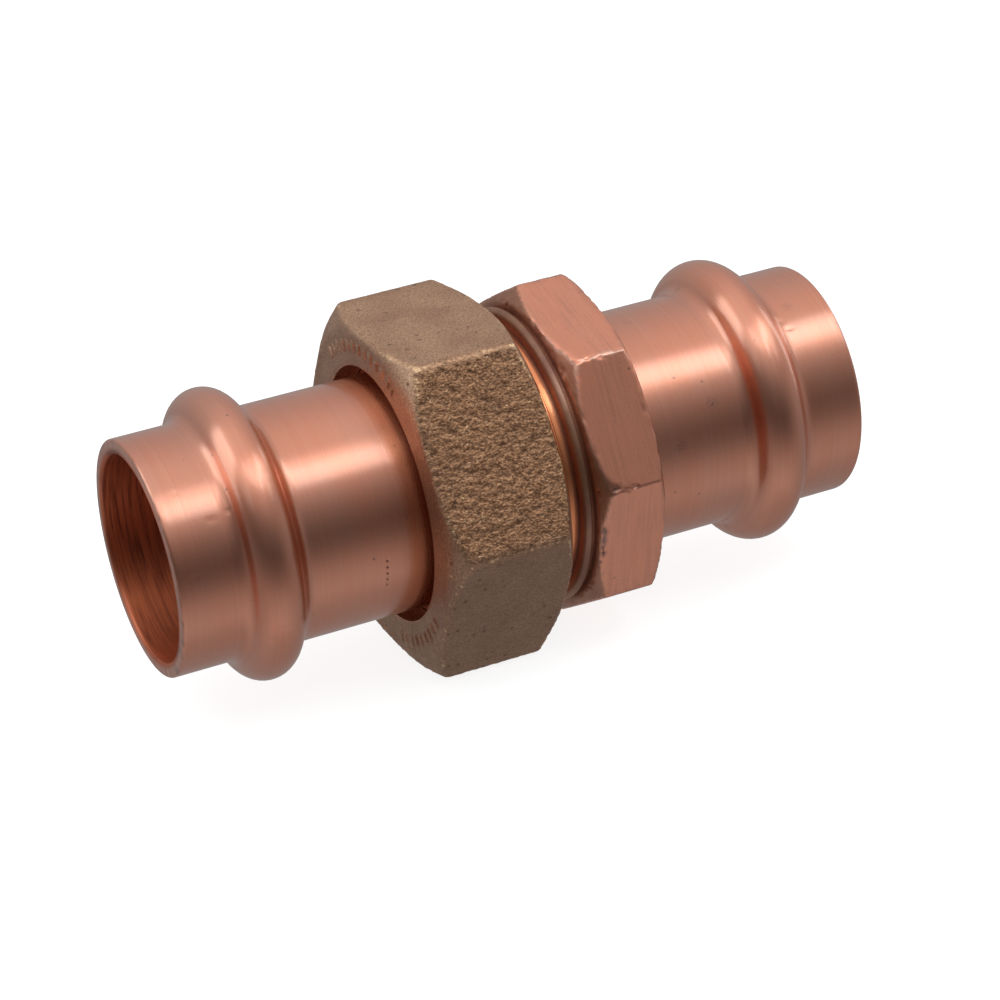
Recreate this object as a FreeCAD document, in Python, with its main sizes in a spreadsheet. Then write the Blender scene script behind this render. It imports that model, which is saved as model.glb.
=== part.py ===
import FreeCAD, Part
import Sketcher
import math
import os

# A press union for 3/4 in. nominal copper tube (22.22 mm outside diameter).
#
# The pipe's axis is X, +Z is up, and the origin is the middle of the assembled union on that axis.
# The tailpiece is at the -X end, the union body at the +X end, and the nut holds them together.
# Places along the pipe are kept as distances from the tailpiece's mouth; station() moves them
# into the part's frame.

DIMENSIONS = [
    # The whole union and what both press ends share
    ("overall_length", 79.2, "mouth to mouth, made up tight"),
    ("tube_radius", 12.85, "outside of both sockets and of the tailpiece's neck"),
    ("socket_radius", 11.22, "bore of both sockets, for 22.22 mm tube"),
    ("socket_depth", 23.0, "mouth to tube stop"),
    ("waterway_radius", 10.2, "bore between the two tube stops"),
    ("mouth_chamfer", 0.3, "both edges of each mouth"),
    # The bead that holds each O-ring
    ("bead_distance", 10.33, "mouth to the bead's middle"),
    ("bead_centre_radius", 12.97, "middle of the bead's round section"),
    ("bead_section_radius", 2.88, "outside of the bead's round section"),
    ("bead_foot_radius", 1.5, "hollow where the bead meets the socket"),
    ("groove_centre_radius", 12.78, "middle of the O-ring groove's round section"),
    ("groove_section_radius", 1.62, "O-ring groove's round section"),
    ("groove_mouth", 2.3, "half the groove's width inside the bore"),
    ("seal_centre_radius", 12.84, "middle of the O-ring's section"),
    ("seal_section_radius", 1.5, "O-ring's section"),
    # The tailpiece's collar and its ball-shaped nose
    ("collar_start", 30.3, "face that the nut pulls on"),
    ("collar_end", 33.0, "collar's front face"),
    ("collar_radius", 14.8, "larger than the nut's opening, smaller than its thread"),
    ("ball_centre", 22.4, "centre of the ball, on the axis"),
    ("ball_radius", 17.44, "ball nose, 0.1 mm short of the cone it seals on"),
    ("nose_end", 35.9, "end of the tailpiece"),
    # The union nut
    ("nut_start", 27.0, "nut's front face, round the tailpiece"),
    ("nut_length", 14.3, "along the pipe"),
    ("nut_across_flats", 36.5, "hexagon"),
    ("nut_front_chamfer_radius", 18.5, "where the front corner chamfer begins"),
    ("nut_front_chamfer_angle", 34.0, "from the front face"),
    ("nut_rear_chamfer_radius", 18.25, "where the rear corner chamfer begins"),
    ("nut_rear_chamfer_angle", 29.5, "from the rear face"),
    ("nut_opening_radius", 14.1, "round the tailpiece's neck"),
    ("nut_wall", 3.2, "front wall that pulls on the collar"),
    ("nut_cavity_radius", 16.4, "room for the collar and the thread's end"),
    ("nut_thread_start", 33.8, "end of the cavity"),
    ("nut_countersink_radius", 16.6, "45 degree countersink in the rear face"),
    ("nut_minor_radius", 15.2, "tips of the internal thread"),
    ("nut_major_radius", 16.2, "bottom of the internal thread's groove"),
    ("nut_groove_root", 0.24, "width of the internal groove's bottom"),
    # The union body's seat, thread and collar
    ("body_start", 33.4, "body's front face"),
    ("seat_mouth_radius", 13.8, "wide end of the 45 degree seat"),
    ("lead_chamfer", 0.8, "on the first turn of the external thread"),
    ("body_major_radius", 16.0, "tips of the external thread"),
    ("body_minor_radius", 15.02, "bottom of the external thread's groove"),
    ("body_groove_root", 0.25, "width of the external groove's bottom"),
    ("thread_pitch", 1.5875, "16 turns per inch, right-hand"),
    ("thread_lead_in", 32.0, "middle of the body's groove where its helix starts"),
    ("thread_run_out", 0.65, "how far the helices run past the thread"),
    ("thread_tip_margin", 0.2, "how far a groove's outline stands clear of the tips"),
    ("thread_flank_angle", 30.0, "half of the thread's 60 degrees"),
    ("thread_end", 42.0, "where the thread runs into the relief"),
    ("relief_radius", 14.95, "relief behind the thread"),
    ("flange_start", 43.6, "round collar behind the relief"),
    ("flange_radius", 16.4, "round collar"),
    ("flange_front_round", 0.72, "rounded front edge of the round collar"),
    ("flange_rear_round", 0.15, "rounded rear edge of the round collar"),
    ("neck_start", 44.5, "shallow groove before the octagon"),
    ("neck_radius", 16.0, "shallow groove before the octagon"),
    # The octagon that holds the second wrench
    ("octagon_face", 44.85, "front plane of the octagon"),
    ("octagon_start", 45.1, "where the front chamfer meets the flats' middles"),
    ("octagon_end", 52.6, "rear plane of the octagon"),
    ("octagon_across_flats", 34.75, "flat to flat"),
    ("octagon_front_angle", 38.0, "front chamfer, from the octagon's face"),
    ("octagon_rear_angle", 30.0, "rear chamfer, from the octagon's face"),
    ("octagon_turn", -7.24, "degrees that a corner stands off +Y"),
    ("octagon_fillet", 1.3, "hollow between the octagon and the socket"),
    # Cutting outlines reach this far past the metal
    ("overcut", 4.0, "reach of a cutting outline past the metal"),
]

doc = FreeCAD.newDocument("pipe_union")


def make_sheet():
    """The driving dimensions, in millimetres and degrees, one alias a row."""
    dimensions = doc.addObject("Spreadsheet::Sheet", "dims")
    for row, (alias, value, note) in enumerate(DIMENSIONS, start=1):
        dimensions.set(f"A{row}", alias)
        dimensions.set(f"B{row}", str(value))
        dimensions.set(f"C{row}", note)
        dimensions.setAlias(f"B{row}", alias)
    doc.recompute()
    return dimensions


sheet = make_sheet()


def dim(name):
    """The cell of one driving dimension, as an expression."""
    return f"dims.{name}"


def station(name):
    """A distance from the tailpiece's mouth, as a place along X."""
    return f"(dims.{name} - dims.overall_length / 2)"


def number(expression):
    """An expression's value now, used for a sketch's first guess."""
    value = sheet.evalExpression(expression)
    return float(getattr(value, "Value", value))


# ---------------------------------------------------------------------------------------------
# Outlines: a list of corners. Each corner is (along, across), two expressions, and a third entry
# made by arc() bends the edge that follows the corner.
# ---------------------------------------------------------------------------------------------


def arc(along, across, clockwise):
    """The centre and direction of a round edge."""
    return {"centre": (along, across), "clockwise": clockwise}


def backwards(corners):
    """The same run of corners drawn the other way."""
    turned = []
    for index in range(len(corners) - 1, -1, -1):
        corner = corners[index][:2]
        before = corners[index - 1] if index else ()
        if len(before) > 2:
            bend = before[2]
            corner += (arc(*bend["centre"], not bend["clockwise"]),)
        turned.append(corner)
    return turned


def add_edge(sketch, start, end, bend):
    """One straight or round edge: its number, then the numbers of its first and last points."""
    if bend is None:
        line = Part.LineSegment(FreeCAD.Vector(*start), FreeCAD.Vector(*end))
        return sketch.addGeometry(line, False), 1, 2
    centre = [number(value) for value in bend["centre"]]
    circle = Part.Circle(FreeCAD.Vector(*centre), FreeCAD.Vector(0, 0, 1), math.dist(centre, start))
    angles = [math.atan2(y - centre[1], x - centre[0]) for x, y in (start, end)]
    if bend["clockwise"]:
        angles.reverse()
    if angles[1] <= angles[0]:
        angles[1] += 2 * math.pi
    edge = sketch.addGeometry(Part.ArcOfCircle(circle, *angles), False)
    return (edge, 2, 1) if bend["clockwise"] else (edge, 1, 2)


def fix_point(sketch, edge, point, kind, expression):
    """Holds one coordinate of a sketch's point at an expression."""
    constraint = Sketcher.Constraint(kind, -1, 1, edge, point, number(expression))
    index = sketch.addConstraint(constraint)
    sketch.setExpression(f"Constraints[{index}]", expression)


def fix_centre(sketch, edge, start, end, bend):
    """An arc whose ends are held needs one coordinate of its centre, the one across its chord."""
    along, across = bend["centre"]
    if abs(end[0] - start[0]) >= abs(end[1] - start[1]):
        fix_point(sketch, edge, 3, "DistanceY", across)
    else:
        fix_point(sketch, edge, 3, "DistanceX", along)


def outline(body, name, corners, plane="XZ_Plane", offset=None):
    """A closed, fully held sketch of an outline on one of the body's origin planes."""
    sketch = body.newObject("Sketcher::SketchObject", name)
    planes = [item for item in body.Origin.OriginFeatures if item.Role == plane]
    sketch.AttachmentSupport = [(planes[0], "")]
    sketch.MapMode = "FlatFace"
    if offset:
        sketch.setExpression("AttachmentOffset.Base.z", offset)
    places = [[number(value) for value in corner[:2]] for corner in corners]
    ends = places[1:] + places[:1]
    bends = [corner[2] if len(corner) > 2 else None for corner in corners]
    edges = [add_edge(sketch, *each) for each in zip(places, ends, bends)]
    for index, (edge, first, last) in enumerate(edges):
        following, following_first, _ = edges[(index + 1) % len(edges)]
        join = Sketcher.Constraint("Coincident", edge, last, following, following_first)
        sketch.addConstraint(join)
        fix_point(sketch, edge, first, "DistanceX", corners[index][0])
        fix_point(sketch, edge, first, "DistanceY", corners[index][1])
    for (edge, _, _), start, end, bend in zip(edges, places, ends, bends):
        if bend:
            fix_centre(sketch, edge, start, end, bend)
    return sketch


# ---------------------------------------------------------------------------------------------
# Features that several pieces share
# ---------------------------------------------------------------------------------------------


def revolve(body, kind, name, corners):
    """A Revolution or a Groove of an outline, all the way round the pipe's axis."""
    sketch = outline(body, name + "_outline", corners)
    feature = body.newObject(f"PartDesign::{kind}", name)
    feature.Profile = sketch
    feature.ReferenceAxis = (sketch, ["H_Axis"])
    feature.Angle = 360
    doc.recompute()
    return feature


def pad_polygon(body, name, sides, across_flats, turn, start, length):
    """A prism along the pipe with its first corner turned from +Y towards +Z."""
    corner_radius = f"{across_flats} / 2 / cos({180 / sides})"
    corners = []
    for index in range(sides):
        angle = f"({360 * index / sides} + {turn})"
        corners.append((f"{corner_radius} * cos({angle})", f"{corner_radius} * sin({angle})"))
    sketch = outline(body, name + "_outline", corners, "YZ_Plane", start)
    feature = body.newObject("PartDesign::Pad", name)
    feature.Profile = sketch
    feature.setExpression("Length", length)
    doc.recompute()
    return feature


def cut_corners(body, name, face, begin_radius, angle, into):
    """Turns a cone on a polygon's corners; into is "+" where the metal lies towards +X."""
    reach = dim("overcut")
    away = "-" if into == "+" else "+"
    return revolve(body, "Groove", name, [
        (f"{face} {away} {reach}", begin_radius),
        (face, begin_radius),
        (f"{face} {into} {reach} * tan({angle})", f"{begin_radius} + {reach}"),
        (f"{face} {away} {reach}", f"{begin_radius} + {reach}"),
    ])


def cut_thread(body, name, middle, root_radius, root_width, open_radius, length):
    """A right-hand V groove with a flat bottom, cut along a helix round the pipe's axis."""
    half_root = f"{root_width} / 2"
    slope = f"abs({open_radius} - {root_radius}) * tan({dim('thread_flank_angle')})"
    half_open = f"({half_root} + {slope})"
    sketch = outline(body, name + "_outline", [
        (f"{middle} - {half_root}", root_radius),
        (f"{middle} + {half_root}", root_radius),
        (f"{middle} + {half_open}", open_radius),
        (f"{middle} - {half_open}", open_radius),
    ])
    feature = body.newObject("PartDesign::SubtractiveHelix", name)
    feature.Profile = sketch
    feature.ReferenceAxis = (sketch, ["H_Axis"])
    feature.Mode = "pitch-height-angle"
    feature.setExpression("Pitch", dim("thread_pitch"))
    feature.setExpression("Height", length)
    feature.LeftHanded = False
    doc.recompute()
    return feature


def press_end(mouth, inward):
    """The outside of a press end, from the mouth to past the bead, as outline corners.

    inward is "+" for the tailpiece, whose inside lies towards +X from its mouth, else "-".
    """
    outward = "-" if inward == "+" else "+"
    over_bead = inward == "+"
    middle = f"({mouth} {inward} {dim('bead_distance')})"
    between = f"({dim('bead_section_radius')} + {dim('bead_foot_radius')})"
    foot_radius = f"({dim('tube_radius')} + {dim('bead_foot_radius')})"
    rise = f"({foot_radius} - {dim('bead_centre_radius')})"
    reach = f"sqrt({between}^2 - {rise}^2)"
    share = f"({dim('bead_section_radius')} / {between})"
    touch_radius = f"({dim('bead_centre_radius')} + {rise} * {share})"
    near_foot = arc(f"{middle} {outward} {reach}", foot_radius, not over_bead)
    bead = arc(middle, dim("bead_centre_radius"), over_bead)
    far_foot = arc(f"{middle} {inward} {reach}", foot_radius, not over_bead)
    return [
        (mouth, f"{dim('tube_radius')} - {dim('mouth_chamfer')}"),
        (f"{mouth} {inward} {dim('mouth_chamfer')}", dim("tube_radius")),
        (f"{middle} {outward} {reach}", dim("tube_radius"), near_foot),
        (f"{middle} {outward} {reach} * {share}", touch_radius, bead),
        (f"{middle} {inward} {reach} * {share}", touch_radius, far_foot),
        (f"{middle} {inward} {reach}", dim("tube_radius")),
    ]


def socket(mouth, inward):
    """The inside of a press end, from its tube stop to just outside its mouth."""
    outward = "-" if inward == "+" else "+"
    chamfer = dim("mouth_chamfer")
    stop = f"{mouth} {inward} {dim('socket_depth')}"
    return [
        (stop, dim("waterway_radius")),
        (stop, dim("socket_radius")),
        (f"{mouth} {inward} {chamfer}", dim("socket_radius")),
        (f"{mouth} {outward} {chamfer}", f"{dim('socket_radius')} + 2 * {chamfer}"),
        (f"{mouth} {outward} {chamfer}", "0"),
    ]


def cut_seal_groove(body, name, mouth, inward):
    """The hollow of the bead, open to the bore, which holds the O-ring."""
    middle = f"({mouth} {inward} {dim('bead_distance')})"
    section = dim("groove_section_radius")
    over = arc(middle, dim("groove_centre_radius"), True)
    inside = f"{dim('socket_radius')} - {dim('mouth_chamfer')}"
    return revolve(body, "Groove", name, [
        (f"{middle} - {section}", dim("groove_centre_radius"), over),
        (f"{middle} + {section}", dim("groove_centre_radius")),
        (f"{middle} + {dim('groove_mouth')}", inside),
        (f"{middle} - {dim('groove_mouth')}", inside),
    ])


# ---------------------------------------------------------------------------------------------
# The pieces
# ---------------------------------------------------------------------------------------------

TAILPIECE_MOUTH = f"(0 - {dim('overall_length')} / 2)"
BODY_MOUTH = f"({dim('overall_length')} / 2)"


def make_tailpiece():
    """Copper tailpiece: press end, neck, collar that the nut pulls on, and ball nose."""
    body = doc.addObject("PartDesign::Body", "tailpiece")
    ball = station("ball_centre")
    nose_start = f"sqrt({dim('ball_radius')}^2 - ({station('collar_end')} - {ball})^2)"
    nose_tip = f"sqrt({dim('ball_radius')}^2 - ({station('nose_end')} - {ball})^2)"
    revolve(body, "Revolution", "turned_blank", press_end(TAILPIECE_MOUTH, "+") + [
        (station("collar_start"), dim("tube_radius")),
        (station("collar_start"), dim("collar_radius")),
        (station("collar_end"), dim("collar_radius")),
        (station("collar_end"), nose_start, arc(ball, "0", True)),
        (station("nose_end"), nose_tip),
        (station("nose_end"), "0"),
        (TAILPIECE_MOUTH, "0"),
    ])
    past_nose = f"{station('nose_end')} + {dim('overcut')}"
    revolve(body, "Groove", "passage", [
        (past_nose, "0"),
        (past_nose, dim("waterway_radius")),
    ] + socket(TAILPIECE_MOUTH, "+"))
    cut_seal_groove(body, "bead_hollow", TAILPIECE_MOUTH, "+")
    return body


def make_union_body():
    """Copper union body: seat, external thread, round collar, octagon and press end."""
    body = doc.addObject("PartDesign::Body", "union_body")
    front = station("body_start")
    lead = dim("lead_chamfer")
    front_round = dim("flange_front_round")
    rear_round = dim("flange_rear_round")
    front_shoulder = f"({dim('flange_radius')} - {front_round})"
    rear_shoulder = f"({dim('flange_radius')} - {rear_round})"
    flange_front = f"({station('flange_start')} + {front_round})"
    flange_rear = f"({station('neck_start')} - {rear_round})"
    rear = station("octagon_end")
    fillet = dim("octagon_fillet")
    fillet_radius = f"({dim('tube_radius')} + {fillet})"
    revolve(body, "Revolution", "body_blank", [
        (front, "0"),
        (front, f"{dim('body_major_radius')} - {lead}"),
        (f"{front} + {lead}", dim("body_major_radius")),
        (station("thread_end"), dim("body_major_radius")),
        (station("thread_end"), dim("relief_radius")),
        (station("flange_start"), dim("relief_radius")),
        (station("flange_start"), front_shoulder, arc(flange_front, front_shoulder, True)),
        (flange_front, dim("flange_radius")),
        (flange_rear, dim("flange_radius"), arc(flange_rear, rear_shoulder, True)),
        (station("neck_start"), rear_shoulder),
        (station("neck_start"), dim("neck_radius")),
        (rear, dim("neck_radius")),
        (rear, fillet_radius, arc(f"{rear} + {fillet}", fillet_radius, False)),
        (f"{rear} + {fillet}", dim("tube_radius")),
    ] + backwards(press_end(BODY_MOUTH, "-")) + [
        (BODY_MOUTH, "0"),
    ])
    across = dim("octagon_across_flats")
    face = station("octagon_face")
    width = f"{rear} - {face}"
    pad_polygon(body, "octagon", 8, across, dim("octagon_turn"), face, width)
    front_angle = dim("octagon_front_angle")
    rise = f"({station('octagon_start')} - {face}) / tan({front_angle})"
    cut_corners(body, "octagon_front", face, f"({across} / 2 - {rise})", front_angle, "+")
    cut_corners(body, "octagon_rear", rear, f"({across} / 2)", dim("octagon_rear_angle"), "-")
    overcut = dim("overcut")
    seat_mouth = dim("seat_mouth_radius")
    seat_end = f"{front} + {seat_mouth} - {dim('waterway_radius')}"
    revolve(body, "Groove", "body_passage", backwards(socket(BODY_MOUTH, "-")) + [
        (seat_end, dim("waterway_radius")),
        (f"{front} - {overcut}", f"{seat_mouth} + {overcut}"),
        (f"{front} - {overcut}", "0"),
    ])
    cut_seal_groove(body, "body_bead_hollow", BODY_MOUTH, "-")
    middle = station("thread_lead_in")
    length = f"{dim('thread_end')} + {dim('thread_run_out')} - {dim('thread_lead_in')}"
    tips = f"({dim('body_major_radius')} + {dim('thread_tip_margin')})"
    cut_thread(body, "body_thread", middle, dim("body_minor_radius"), dim("body_groove_root"),
               tips, length)
    return body


def make_union_nut():
    """Cast bronze nut: hexagon with turned ends, opening, cavity and internal thread."""
    body = doc.addObject("PartDesign::Body", "union_nut")
    front = station("nut_start")
    rear = f"({station('nut_start')} + {dim('nut_length')})"
    overcut = dim("overcut")
    across = dim("nut_across_flats")
    pad_polygon(body, "hexagon", 6, across, "0", front, dim("nut_length"))
    cut_corners(body, "nut_front", front, dim("nut_front_chamfer_radius"),
                dim("nut_front_chamfer_angle"), "+")
    cut_corners(body, "nut_rear", rear, dim("nut_rear_chamfer_radius"),
                dim("nut_rear_chamfer_angle"), "-")
    wall = f"{front} + {dim('nut_wall')}"
    minor = dim("nut_minor_radius")
    countersink = dim("nut_countersink_radius")
    revolve(body, "Groove", "nut_passage", [
        (f"{front} - {overcut}", "0"),
        (f"{front} - {overcut}", dim("nut_opening_radius")),
        (wall, dim("nut_opening_radius")),
        (wall, dim("nut_cavity_radius")),
        (station("nut_thread_start"), dim("nut_cavity_radius")),
        (station("nut_thread_start"), minor),
        (f"{rear} - ({countersink} - {minor})", minor),
        (f"{rear} + {overcut}", f"{countersink} + {overcut}"),
        (f"{rear} + {overcut}", "0"),
    ])
    middle = f"({station('thread_lead_in')} + {dim('thread_pitch')} / 2)"
    length = f"{rear} + {dim('thread_run_out')} - {middle}"
    tips = f"({minor} - {dim('thread_tip_margin')})"
    cut_thread(body, "nut_thread", middle, dim("nut_major_radius"), dim("nut_groove_root"),
               tips, length)
    return body


def make_seal(name, mouth, inward):
    """An EPDM O-ring that lies in a bead."""
    seal = doc.addObject("Part::Torus", name)
    seal.setExpression("Radius1", dim("seal_centre_radius"))
    seal.setExpression("Radius2", dim("seal_section_radius"))
    about_y = FreeCAD.Rotation(FreeCAD.Vector(0, 1, 0), 90)
    seal.Placement = FreeCAD.Placement(FreeCAD.Vector(0, 0, 0), about_y)
    seal.setExpression("Placement.Base.x", f"{mouth} {inward} {dim('bead_distance')}")
    doc.recompute()
    return seal


def check(pieces):
    """Stops on any failed object, and on any piece that isn't one valid solid."""
    for item in doc.Objects:
        if {"Invalid", "Error"} & set(item.State):
            raise RuntimeError(f"{item.Name} failed: {item.State}")
    for piece in pieces:
        shape = piece.Shape
        if shape.isNull() or not shape.isValid() or len(shape.Solids) != 1:
            raise RuntimeError(f"{piece.Label} isn't one valid solid")
        box = shape.optimalBoundingBox(True, False)
        print(f"{piece.Label}: {shape.Volume:.1f} mm3, x {box.XMin:.2f} to {box.XMax:.2f}, "
              f"y {box.YMin:.2f} to {box.YMax:.2f}, z {box.ZMin:.2f} to {box.ZMax:.2f}")


def main():
    pieces = [
        make_tailpiece(),
        make_seal("tailpiece_seal", TAILPIECE_MOUTH, "+"),
        make_union_nut(),
        make_union_body(),
        make_seal("body_seal", BODY_MOUTH, "-"),
    ]
    doc.recompute()
    check(pieces)
    os.makedirs("parts", exist_ok=True)
    for piece in pieces:
        piece.Shape.exportStep(f"parts/{piece.Label}.step")


main()
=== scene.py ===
import math

import bmesh
import bpy
import numpy as np
from mathutils import Matrix, Vector


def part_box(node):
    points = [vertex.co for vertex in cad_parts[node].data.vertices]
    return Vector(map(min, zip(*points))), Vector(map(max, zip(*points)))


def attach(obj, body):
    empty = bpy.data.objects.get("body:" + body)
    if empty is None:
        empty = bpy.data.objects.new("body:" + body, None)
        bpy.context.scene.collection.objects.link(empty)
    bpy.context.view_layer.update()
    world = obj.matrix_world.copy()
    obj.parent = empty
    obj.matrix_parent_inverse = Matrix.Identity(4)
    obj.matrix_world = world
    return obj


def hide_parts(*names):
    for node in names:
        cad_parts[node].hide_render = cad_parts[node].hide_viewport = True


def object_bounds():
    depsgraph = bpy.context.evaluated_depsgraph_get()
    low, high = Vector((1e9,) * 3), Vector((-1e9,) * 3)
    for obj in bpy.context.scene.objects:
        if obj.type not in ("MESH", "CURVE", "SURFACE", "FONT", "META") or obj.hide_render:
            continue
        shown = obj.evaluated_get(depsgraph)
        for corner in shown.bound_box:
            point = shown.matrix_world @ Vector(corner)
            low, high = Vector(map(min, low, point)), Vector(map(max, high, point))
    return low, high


# A copper press union: tailpiece, cast bronze nut, union body and two O-rings, in metres.
# The pipe's axis is X. Angles round the pipe start at +Y and go towards +Z.
# An outline is a list of (along, out) points, where along is X and out is the distance from the axis.

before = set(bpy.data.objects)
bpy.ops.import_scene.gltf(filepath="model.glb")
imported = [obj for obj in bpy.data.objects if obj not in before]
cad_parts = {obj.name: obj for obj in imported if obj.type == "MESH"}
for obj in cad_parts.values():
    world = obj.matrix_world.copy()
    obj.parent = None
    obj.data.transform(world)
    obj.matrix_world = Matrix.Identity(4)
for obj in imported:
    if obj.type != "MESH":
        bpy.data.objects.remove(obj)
cad_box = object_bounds()

MM = 0.001
TURN = 2 * math.pi

LEFT_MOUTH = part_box("tailpiece")[0][0]
RIGHT_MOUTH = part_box("union_body")[1][0]
NUT_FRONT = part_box("union_nut")[0][0]
NUT_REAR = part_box("union_nut")[1][0]


def station(millimetres):
    """A distance from the tailpiece's mouth, as a place along X."""
    return LEFT_MOUTH + millimetres * MM


# How long a step along an outline is, how many steps each mesh has round the pipe, and how many a
# seal has round its section
STEP = 0.45 * MM
TAILPIECE_STEPS = 288
BODY_STEPS = 264
NUT_STEPS = 624
SEAL_STEPS = 160
SEAL_SECTION_STEPS = 28

# Both press ends
TUBE = 12.85 * MM
SOCKET = 11.22 * MM
SOCKET_DEPTH = 23.0 * MM
WATERWAY = 10.2 * MM
MOUTH_EDGE = 0.3 * MM
BEAD_DISTANCE = 10.33 * MM
BEAD_CENTRE = 12.97 * MM
BEAD_SECTION = 2.88 * MM
BEAD_FOOT = 1.5 * MM
GROOVE_CENTRE = 12.78 * MM
GROOVE_SECTION = 1.62 * MM
GROOVE_MOUTH = 2.3 * MM
SEAL_CENTRE = 12.84 * MM
SEAL_SECTION = 1.5 * MM

# Tailpiece
COLLAR_START = station(30.3)
COLLAR_END = station(33.0)
COLLAR = 14.8 * MM
BALL_CENTRE = station(22.4)
BALL = 17.44 * MM
NOSE_END = station(35.9)

# Nut
NUT_ACROSS = 36.5 * MM
NUT_FRONT_CONE = 18.5 * MM
NUT_FRONT_ANGLE = math.radians(34.0)
NUT_REAR_CONE = 18.25 * MM
NUT_REAR_ANGLE = math.radians(29.5)
NUT_OPENING = 14.1 * MM
NUT_WALL = 3.2 * MM
NUT_CAVITY = 16.4 * MM
NUT_THREAD_START = station(33.8)
NUT_COUNTERSINK = 16.6 * MM
NUT_MINOR = 15.2 * MM
NUT_MAJOR = 16.2 * MM
NUT_ROOT = 0.24 * MM

# Union body
BODY_START = station(33.4)
SEAT_MOUTH = 13.8 * MM
LEAD_CHAMFER = 0.8 * MM
BODY_MAJOR = 16.0 * MM
BODY_MINOR = 15.02 * MM
BODY_ROOT = 0.25 * MM
PITCH = 1.5875 * MM
THREAD_LEAD_IN = station(32.0)
THREAD_END = station(42.0)
RELIEF = 14.95 * MM
FLANGE_START = station(43.6)
FLANGE = 16.4 * MM
FLANGE_FRONT_ROUND = 0.72 * MM
FLANGE_REAR_ROUND = 0.15 * MM
NECK_START = station(44.5)
NECK = 16.0 * MM
OCTAGON_FACE = station(44.85)
OCTAGON_START = station(45.1)
OCTAGON_END = station(52.6)
OCTAGON_ACROSS = 34.75 * MM
OCTAGON_FRONT_ANGLE = math.radians(38.0)
OCTAGON_REAR_ANGLE = math.radians(30.0)
OCTAGON_TURN = math.radians(-7.24)
OCTAGON_FILLET = 1.3 * MM


# ---------------------------------------------------------------------------------------------
# Outlines
# ---------------------------------------------------------------------------------------------


def straight(path, along, out, step):
    """Goes on from the path's last point in a straight line, in steps of at most this length."""
    start = path[-1]
    count = max(1, math.ceil(math.dist(start, (along, out)) / step))
    for index in range(1, count + 1):
        share = index / count
        path.append((start[0] + (along - start[0]) * share, start[1] + (out - start[1]) * share))


def turn(path, along, out, degrees, step):
    """Goes on round a centre; positive degrees turn from +X towards outward."""
    start = path[-1]
    radius = math.dist(start, (along, out))
    first = math.atan2(start[1] - out, start[0] - along)
    sweep = math.radians(degrees)
    count = max(2, math.ceil(abs(sweep) * radius / step))
    for index in range(1, count + 1):
        angle = first + sweep * index / count
        path.append((along + radius * math.cos(angle), out + radius * math.sin(angle)))


def press_end(step):
    """A left-hand press end: the outside from its mouth to past the bead."""
    middle = LEFT_MOUTH + BEAD_DISTANCE
    between = BEAD_SECTION + BEAD_FOOT
    rise = TUBE + BEAD_FOOT - BEAD_CENTRE
    reach = math.sqrt(between ** 2 - rise ** 2)
    foot = math.degrees(math.atan2(reach, rise))
    path = [(LEFT_MOUTH, (TUBE + SOCKET) / 2)]
    straight(path, LEFT_MOUTH, TUBE - MOUTH_EDGE, step)
    turn(path, LEFT_MOUTH + MOUTH_EDGE, TUBE - MOUTH_EDGE, -90, MOUTH_EDGE / 2)
    straight(path, middle - reach, TUBE, step)
    turn(path, middle - reach, TUBE + BEAD_FOOT, foot, step / 2)
    turn(path, middle, BEAD_CENTRE, -2 * foot, step)
    turn(path, middle + reach, TUBE + BEAD_FOOT, foot, step / 2)
    return path


def socket(step):
    """A left-hand press end: the inside from its tube stop to its mouth."""
    middle = LEFT_MOUTH + BEAD_DISTANCE
    path = [(LEFT_MOUTH + SOCKET_DEPTH, WATERWAY)]
    straight(path, LEFT_MOUTH + SOCKET_DEPTH, SOCKET, step)
    straight(path, middle + GROOVE_MOUTH, SOCKET, step)
    straight(path, middle + GROOVE_SECTION, GROOVE_CENTRE, step)
    turn(path, middle, GROOVE_CENTRE, 180, step)
    straight(path, middle - GROOVE_MOUTH, SOCKET, step)
    straight(path, LEFT_MOUTH + MOUTH_EDGE, SOCKET, step)
    turn(path, LEFT_MOUTH + MOUTH_EDGE, SOCKET + MOUTH_EDGE, -90, MOUTH_EDGE / 2)
    return path


def mirrored(path):
    """The same run at the union body's end, drawn the other way."""
    return [(LEFT_MOUTH + RIGHT_MOUTH - along, out) for along, out in reversed(path)]


def fixed(path, angles):
    """A path that is the same at every angle, as an array (angle, point, 2)."""
    return np.broadcast_to(np.array(path), (len(angles), len(path), 2)).copy()


# ---------------------------------------------------------------------------------------------
# Surfaces that change with the angle: soft-edged polygons, threads, and roughness
# ---------------------------------------------------------------------------------------------


def soft_max(first, second, blend):
    """The larger of two distances, rounded where they are nearly equal."""
    overlap = np.maximum(blend - np.abs(first - second), 0) / blend
    return np.maximum(first, second) + overlap ** 2 * blend / 4


def two_flats(out, angle, sides, across, corner):
    """How far a point lies outside the nearest two flats of a polygon with a corner at an angle."""
    sector = TURN / sides
    off = np.mod(angle - corner, sector) - sector / 2
    nearest = out * np.cos(off) - across / 2
    second = out * np.cos(sector - np.abs(off)) - across / 2
    return nearest, second


def cone(depth, out, begin, angle):
    """How far a point lies outside a corner chamfer that begins at a radius on its face."""
    return (out - begin) * math.sin(angle) - depth * math.cos(angle)


def nut_faces(along, out, angle):
    """How far a point lies outside each of the nut's outer faces."""
    nearest, second = two_flats(out, angle, 6, NUT_ACROSS, 0)
    front = cone(along - NUT_FRONT, out, NUT_FRONT_CONE, NUT_FRONT_ANGLE)
    rear = cone(NUT_REAR - along, out, NUT_REAR_CONE, NUT_REAR_ANGLE)
    return nearest, second, front, rear, NUT_FRONT - along, along - NUT_REAR


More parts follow.
